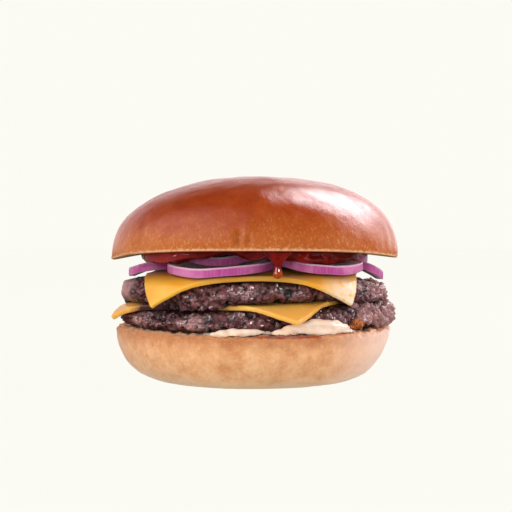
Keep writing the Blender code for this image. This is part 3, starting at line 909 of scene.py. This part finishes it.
def bend_ring(mesh, centre, neighbours, towards, width, rise):
    """Lifts or lowers one side of a ring as a whole, as far as its neighbours allow."""
    way = Vector((0, 0, math.copysign(1, rise)))
    free = {}
    for vertex in mesh.vertices:
        sector = sector_of(vertex.co - centre)
        limit = free.get(sector, abs(rise) * MM)
        free[sector] = room(neighbours, vertex.co, way, limit, RING_GAP)
    for _ in range(12):
        smoothed = {}
        for sector, share in free.items():
            before = free.get((sector - 1) % SECTORS, 0)
            after = free.get((sector + 1) % SECTORS, 0)
            smoothed[sector] = min(share, (before + share + after) / 3)
        free = smoothed
    for vertex in mesh.vertices:
        share = sector_bump(vertex.co - centre, towards, width)
        vertex.co += way * free[sector_of(vertex.co - centre)] * share


def make_ring(number, look, neighbours):
    """One ring of onion, with its outer face marked apart from its cut faces."""
    node = f"onion_ring_{number}"
    body = solid_copy(node)
    crease_sharp_edges(body, 60, 0.8)
    low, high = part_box(node)
    centre = (low + high) / 2
    mesh = refined(body, 3)
    if number in RING_BENDS:
        bend_ring(mesh, centre, neighbours, *RING_BENDS[number])

    def bulge(place, normal):
        """The outer face swells a little, and the wall thins and thickens around the ring."""
        mm = place / MM
        outward = (place - centre).xy.normalized()
        swell = 0.22 * max(0.0, outward.dot(normal.xy))
        swell += 0.25 * (noise.noise(mm * 0.16 + Vector((number * 7.0, 0, 0))) - 0.45)
        return (swell + 0.05 * noise.noise(mm * 1.3)) * MM

    displace(mesh, bulge, neighbours)
    crest = {}
    for vertex in mesh.vertices:
        sector = sector_of(vertex.co - centre)
        crest[sector] = max(crest.get(sector, 0), vertex.co.z)
    skin, around = [], []
    for vertex, normal in zip(mesh.vertices, mesh.vertex_normals):
        out = vertex.co.xy - centre.xy
        side = out.normalized().dot(normal.vector.xy)
        below = (crest[sector_of(vertex.co - centre)] - vertex.co.z) / MM
        skin.append(smoothstep(0.15, 0.75, side) * smoothstep(0.2, 0.8, below))
        around.append(math.atan2(out.y, out.x) * out.length / MM + 40 * number)
    mark(mesh, "skin", skin)
    mark(mesh, "around", around)
    return show(f"onion_{number}", mesh, look, [node])


def ketchup_lumps(place, normal):
    """Low lumps along the outer edge of the smear."""
    mm = place / MM
    edge = smoothstep(34, 42, mm.xy.length) * smoothstep(46, 48, mm.z)
    return 0.6 * edge * (noise.fractal(mm * 0.16, 1.0, 2.0, 3) - 0.1) * MM


def make_ketchup(look, neighbours):
    """The smear sags over the onions at its edge, apart from the gap at the front and the drip."""
    draft = refined(solid_copy("ketchup"), 2)
    places = [v.co.copy() for v in draft.vertices]
    normals = [Vector(n.vector) for n in draft.vertex_normals]
    for vertex, place, normal in zip(draft.vertices, places, normals):
        mm = place / MM
        outer = smoothstep(33, 40, mm.xy.length) * smoothstep(0.0, -0.4, normal.z)
        outer *= smoothstep(46.5, 48, mm.z)
        outer *= (1 - sector_bump(place, *KETCHUP_CLEFT)) * smoothstep(5, 10, (mm.xy - DRIP_AXIS).length)
        lower = sum(depth * sector_bump(place, towards, width) for towards, width, depth in KETCHUP_SAGS)
        sag = outer * (1.5 + lower + 1.6 * noise.noise(mm * 0.11 + Vector((5, 0, 0))))
        if sag > 0:
            vertex.co.z -= room(neighbours, place, DOWN, sag * MM, KETCHUP_GAP)
    body = bmesh.new()
    body.from_mesh(draft)
    bpy.data.meshes.remove(draft)
    mesh = refined(body, 0, voxel=KETCHUP_STEP, smoothing=8)
    displace(mesh, ketchup_lumps, neighbours)
    return show("ketchup_smear", mesh, look, ["ketchup"])


def sauce_folds(place, normal):
    """Two lobes with a nick between them, the thin left one lumpy and the thick right one folded."""
    mm = place / MM
    edge = smoothstep(44, 49, mm.xy.length)
    amount = 1.0 * (noise.fractal(Vector((mm.x * 0.13, mm.y * 0.13, mm.z * 0.5)), 1.0, 2.0, 3) - 0.1)
    amount += 0.9 * sector_bump(place, -100, 14) * noise.noise(mm * 0.42)
    amount += 0.55 * noise.noise(Vector((mm.x * 0.12, mm.y * 0.12, mm.z * 0.75 + mm.x * 0.07 + 4)))
    amount -= 1.3 * sector_bump(place, -84, 4.5)
    return amount * edge * MM


def make_sauce(look, neighbours):
    """The squeezed-out bead settles on the heel."""
    mesh = refined(solid_copy("sauce"), 1, voxel=SAUCE_STEP, smoothing=5)
    for vertex in mesh.vertices:
        mm = vertex.co / MM
        sag = smoothstep(46, 50, mm.xy.length) * (1 - smoothstep(20.5, 24, mm.z)) * 1.3 * MM
        vertex.co.z -= room(neighbours, vertex.co, DOWN, sag)
    displace(mesh, sauce_folds, neighbours)
    return show("sauce_bead", mesh, look, ["sauce"])


def crumb(body, place, size, dice):
    """One rough crumb."""
    made = bmesh.ops.create_icosphere(body, subdivisions=3, radius=1)["verts"]
    stretch = Vector((dice.uniform(0.6, 1.3), dice.uniform(0.6, 1.3), dice.uniform(0.5, 1.0)))
    turn = Matrix.Rotation(dice.uniform(0, 6.3), 3, "Z") @ Matrix.Rotation(dice.uniform(0, 3), 3, "X")
    off = Vector((dice.uniform(0, 90), 0, 0))
    for vert in made:
        rough = 1 + 0.6 * noise.noise(vert.co * 1.3 + off)
        rough += 0.22 * noise.fractal(vert.co * 3.5 + off, 0.7, 2.0, 3)
        vert.co = boxed(place + turn @ (vert.co * stretch * rough) * size)


def scatter(skin, seed, count, directions, heights, sizes):
    """The mesh of crumbs that stick to the outside of a skin. Each crumb has dice of its own."""
    body = bmesh.new()
    for number in range(count):
        dice = random.Random(1000 * seed + number)
        angle = math.radians(dice.uniform(*directions))
        height = dice.uniform(*heights) * MM
        outside = Vector((math.cos(angle) * OUTSIDE, math.sin(angle) * OUTSIDE, height))
        inward = Vector((-math.cos(angle), -math.sin(angle), 0))
        hit = skin.ray_cast(outside, inward, 30 * MM)[0]
        if hit is None:
            continue
        size = dice.triangular(*sizes) * MM
        if hit.x <= CRUMB_LIMIT - 1.6 * size:
            crumb(body, hit - inward * size * 0.25, size, dice)
    mesh = bpy.data.meshes.new("crumbs")
    body.to_mesh(mesh)
    body.free()
    # The meat crumbs take the meat's paler painted sheen.
    mark(mesh, "pale", [0.75] * len(mesh.vertices))
    return mesh


def make_burger():
    """All the pieces, from the heel up, and the crumbs."""
    beef = patty_material()
    cheese = cheese_material()
    onion = onion_material()
    solids = {name: skin_of(node.data) for name, node in NODES.items()}

    def near(*names):
        return [solids[name] for name in names]

    heel = make_heel(heel_material(), near("patty_lower", "sauce"))
    make_sauce(sauce_material(), [skin_of(heel.data)] + near("patty_lower"))
    lower = make_patty("patty_lower", beef, near("heel", "sauce", "cheese_lower"), 3.7)
    make_lower_slice(cheese, near("patty_lower", "patty_upper"))
    upper = make_patty("patty_upper", beef, near("cheese_lower", "cheese_upper", *RINGS), 11.3)
    make_upper_slice(cheese, near("patty_upper", *RINGS))
    for number in range(1, len(RINGS) + 1):
        others = [name for name in RINGS if name != f"onion_ring_{number}"]
        make_ring(number, onion, near("cheese_upper", "ketchup", *others))
    make_ketchup(ketchup_material(), near("crown", *RINGS))
    make_crown(crown_material(), near("ketchup", *RINGS))

    lower_skin, upper_skin = skin_of(lower.data), skin_of(upper.data)
    show("meat_crumbs", scatter(lower_skin, *LOWER_CRUMBS), beef)
    show("meat_crumbs_upper", scatter(upper_skin, *UPPER_CRUMBS), beef)
    show("bread_crumbs", scatter(lower_skin, *BREAD_CRUMBS), crumb_material())


# Studio


def make_floor():
    """A wide sheet that glows as bright as the paper behind it, and lights the burger less than it looks."""
    mesh = bpy.data.meshes.new("floor")
    plane = bmesh.new()
    bmesh.ops.create_grid(plane, x_segments=1, y_segments=1, size=40)
    plane.to_mesh(mesh)
    plane.free()
    floor = bpy.data.objects.new("floor", mesh)
    bpy.context.collection.objects.link(floor)
    floor.location.z = -0.05 * MM
    made = bpy.data.materials.new("paper")
    made.use_nodes = True
    tree = made.node_tree
    shader = tree.nodes["Principled BSDF"]
    shader.inputs["Base Color"].default_value = (0.012, 0.011, 0.010, 1)
    shader.inputs["Roughness"].default_value = 1
    shader.inputs["Specular IOR Level"].default_value = 0
    shader.inputs["Emission Strength"].default_value = 0.99
    path = add(tree, "ShaderNodeLightPath").outputs
    onto_pieces, in_gloss = tuple(0.62 * c for c in PAPER), tuple(0.2 * c for c in PAPER)
    unseen = blend(tree, path["Is Glossy Ray"], onto_pieces, in_gloss)
    tree.links.new(blend(tree, path["Is Camera Ray"], unseen, PAPER), shader.inputs["Emission Color"])
    mesh.materials.append(made)


def panel(name, place, aim_height, size, radiance, tint, gloss_only=False):
    """A soft rectangular light, unseen in the gloss unless it is made for the gloss alone."""
    data = bpy.data.lights.new(name, "AREA")
    data.shape = "RECTANGLE"
    data.size, data.size_y = size
    data.energy = radiance * math.pi * data.size * data.size_y
    data.color = tint
    light = bpy.data.objects.new(name, data)
    bpy.context.collection.objects.link(light)
    light.location = place
    light.rotation_euler = (Vector((0, 0, aim_height)) - Vector(place)).to_track_quat("-Z", "Y").to_euler()
    light.visible_camera = False
    light.visible_glossy = gloss_only
    light.visible_diffuse = not gloss_only
    return light


def make_lights():
    for settings in PANELS:
        panel(*settings)
    wet = bpy.data.collections.new("wet_pieces")
    for piece in list(bpy.context.collection.objects):
        if piece.name.split("_")[0] in WET and piece.name not in NODES:
            wet.objects.link(piece)
    for settings in GLINTS:
        panel(*settings, gloss_only=True).light_linking.receiver_collection = wet


def soft_spot(tree, direction, azimuth, elevation, inner, outer):
    """A round soft-edged light in the surround, as a mask by direction. Angles in degrees."""
    turn, lift = math.radians(azimuth), math.radians(elevation)
    towards = (math.cos(turn) * math.cos(lift), math.sin(turn) * math.cos(lift), math.sin(lift))
    facing = add(tree, "ShaderNodeVectorMath", {0: direction, 1: towards}, operation="DOT_PRODUCT")
    edge, full = math.cos(math.radians(outer)), math.cos(math.radians(inner))
    return ramp(tree, facing.outputs["Value"], edge, full)


def make_world():
    """Pale paper for the camera, a dim fill for the pieces, and soft boxes for the gloss to reflect."""
    world = bpy.data.worlds.new("surround")
    world.use_nodes = True
    bpy.context.scene.world = world
    tree = world.node_tree
    dark, rear_left, rear_right = (0.03, 0.028, 0.028), (0.90, 0.66, 0.66), (1.55, 1.42, 1.45)
    fill_back, fill_front = (0.16, 0.15, 0.155), (0.62, 0.59, 0.58)
    direction = add(tree, "ShaderNodeTexCoord").outputs["Generated"]
    across, deep, up = add(tree, "ShaderNodeSeparateXYZ", {0: direction}).outputs
    low_behind = times(tree, ramp(tree, deep, 0.15, 0.7), ramp(tree, up, 0.25, 0.72, 1.0, 0.0))
    rear = blend(tree, ramp(tree, across, -0.5, 0.6), rear_left, rear_right)
    surround = blend(tree, low_behind, dark, rear)
    for *spot, colour in REFLECTED:
        surround = blend(tree, soft_spot(tree, direction, *spot), surround, colour)
    path = add(tree, "ShaderNodeLightPath").outputs
    fill = blend(tree, ramp(tree, deep, -1.0, 0.2, 1.0, 0.0), fill_back, fill_front)
    unseen = blend(tree, path["Is Glossy Ray"], fill, surround)
    seen = blend(tree, path["Is Camera Ray"], unseen, PAPER)
    tree.links.new(seen, tree.nodes["Background"].inputs["Color"])


def make_camera():
    data = bpy.data.cameras.new("camera")
    data.sensor_width = 36
    data.lens = CAMERA_LENS
    data.shift_x, data.shift_y = CAMERA_SHIFT
    data.clip_start = 0.01
    camera = bpy.data.objects.new("camera", data)
    bpy.context.collection.objects.link(camera)
    camera.location = (0, -CAMERA_DISTANCE, CAMERA_HEIGHT)
    camera.rotation_euler = (math.pi / 2, 0, 0)
    bpy.context.scene.camera = camera


noise.seed_set(NOISE_SEED)
make_burger()
make_floor()
make_world()
make_camera()
make_lights()
bpy.context.scene.view_settings.view_transform = "Standard"
